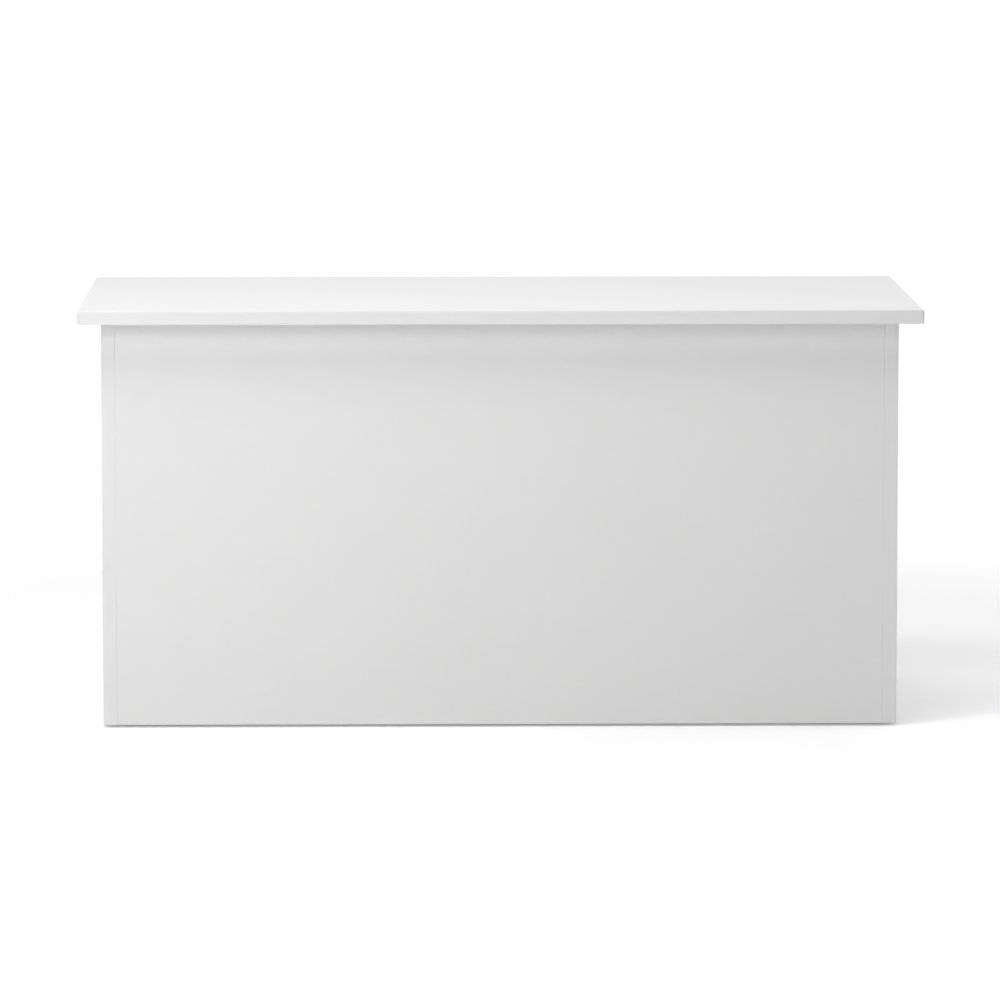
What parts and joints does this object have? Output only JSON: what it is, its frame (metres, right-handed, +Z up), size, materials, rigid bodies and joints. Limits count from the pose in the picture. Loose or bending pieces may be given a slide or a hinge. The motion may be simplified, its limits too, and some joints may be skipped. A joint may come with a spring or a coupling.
{
  "type": "toy box",
  "caption": "Wooden toy box of flat white boards with a hinged overhanging lid held open by a folding stay at each side.",
  "frame": {"origin": "on the floor, under the centre of the whole object's box", "axes": "+X to the right when facing the front, +Y to the back, +Z up; the front faces -Y"},
  "size_m": [0.9, 0.4554, 0.45],
  "materials": {
    "white_lacquered_board": "satin white lacquer on a fine wood fibre board, edges eased",
    "beech_dowel": "raw fluted beech",
    "zinc_cam": "dull die-cast zinc",
    "plated_fastener": "bright zinc-plated steel",
    "hinge_steel": "satin nickel-plated steel",
    "stay_steel": "zinc-plated pressed steel strip",
    "nylon": "natural nylon, slightly milky",
    "white_cap": "moulded white plastic",
    "clear_bumper": "clear soft polyurethane"
  },
  "bodies": {
    "carcass": {"left_side_panel": "white_lacquered_board", "right_side_panel": "white_lacquered_board", "front_panel": "white_lacquered_board", "back_panel": "white_lacquered_board", "bottom_panel": "white_lacquered_board", "front_corner_dowels": "beech_dowel", "back_corner_dowels": "beech_dowel", "bottom_dowels": "beech_dowel", "front_cam_bolts": "plated_fastener", "back_cam_bolts": "plated_fastener", "bottom_cam_bolts": "plated_fastener", "front_cam_locks": "zinc_cam", "back_cam_locks": "zinc_cam", "bottom_cam_locks": "zinc_cam", "front_cam_caps": "white_cap", "back_cam_caps": "white_cap", "floor_glides": "nylon", "glide_nails": "plated_fastener", "lid_bumpers": "clear_bumper", "left_hinge_body_leaf": "hinge_steel", "right_hinge_body_leaf": "hinge_steel", "left_hinge_pin": "hinge_steel", "right_hinge_pin": "hinge_steel", "hinge_body_screws": "plated_fastener", "stay_bracket_screws": "plated_fastener", "left_stay_side_bracket": "stay_steel", "left_stay_base_rivet": "stay_steel", "left_stay_base_washer": "nylon", "right_stay_side_bracket": "stay_steel", "right_stay_base_rivet": "stay_steel", "right_stay_base_washer": "nylon"},
    "lid": {"lid_panel": "white_lacquered_board", "left_hinge_lid_leaf": "hinge_steel", "right_hinge_lid_leaf": "hinge_steel", "hinge_lid_screws": "plated_fastener", "lid_bracket_screws": "plated_fastener", "left_stay_lid_bracket": "stay_steel", "left_stay_lid_rivet": "stay_steel", "left_stay_lid_washer": "nylon", "right_stay_lid_bracket": "stay_steel", "right_stay_lid_rivet": "stay_steel", "right_stay_lid_washer": "nylon"},
    "left_lower_arm": {"left_stay_lower_arm": "stay_steel", "left_stay_elbow_rivet": "stay_steel", "left_stay_elbow_washer": "nylon"},
    "left_upper_arm": {"left_stay_upper_arm": "stay_steel"},
    "right_lower_arm": {"right_stay_lower_arm": "stay_steel", "right_stay_elbow_rivet": "stay_steel", "right_stay_elbow_washer": "nylon"},
    "right_upper_arm": {"right_stay_upper_arm": "stay_steel"}
  },
  "joints": [
    {"name": "lid_hinge", "type": "hinge", "parent": "carcass", "child": "lid", "pos_m": [0, 0.22515, 0.434], "axis": [-1, 0, 0], "range_deg": [0, 100]},
    {"name": "left_stay_base", "type": "hinge", "parent": "carcass", "child": "left_lower_arm", "pos_m": [-0.4049, 0.17515, 0.29258], "axis": [-1, 0, 0], "range_deg": [0, 100]},
    {"name": "left_stay_elbow", "type": "hinge", "parent": "left_lower_arm", "child": "left_upper_arm", "pos_m": [-0.4023, 0.02563, 0.28058], "axis": [-1, 0, 0], "range_deg": [-100, 0]},
    {"name": "right_stay_base", "type": "hinge", "parent": "carcass", "child": "right_lower_arm", "pos_m": [0.4049, 0.17515, 0.29258], "axis": [-1, 0, 0], "range_deg": [0, 100]},
    {"name": "right_stay_elbow", "type": "hinge", "parent": "right_lower_arm", "child": "right_upper_arm", "pos_m": [0.4023, 0.02563, 0.28058], "axis": [-1, 0, 0], "range_deg": [-100, 0]}
  ],
  "couplings": [
    {"joint": "left_stay_base", "follows": "lid_hinge", "ratio": 1},
    {"joint": "left_stay_elbow", "follows": "lid_hinge", "ratio": -1},
    {"joint": "right_stay_base", "follows": "lid_hinge", "ratio": 1},
    {"joint": "right_stay_elbow", "follows": "lid_hinge", "ratio": -1}
  ]
}
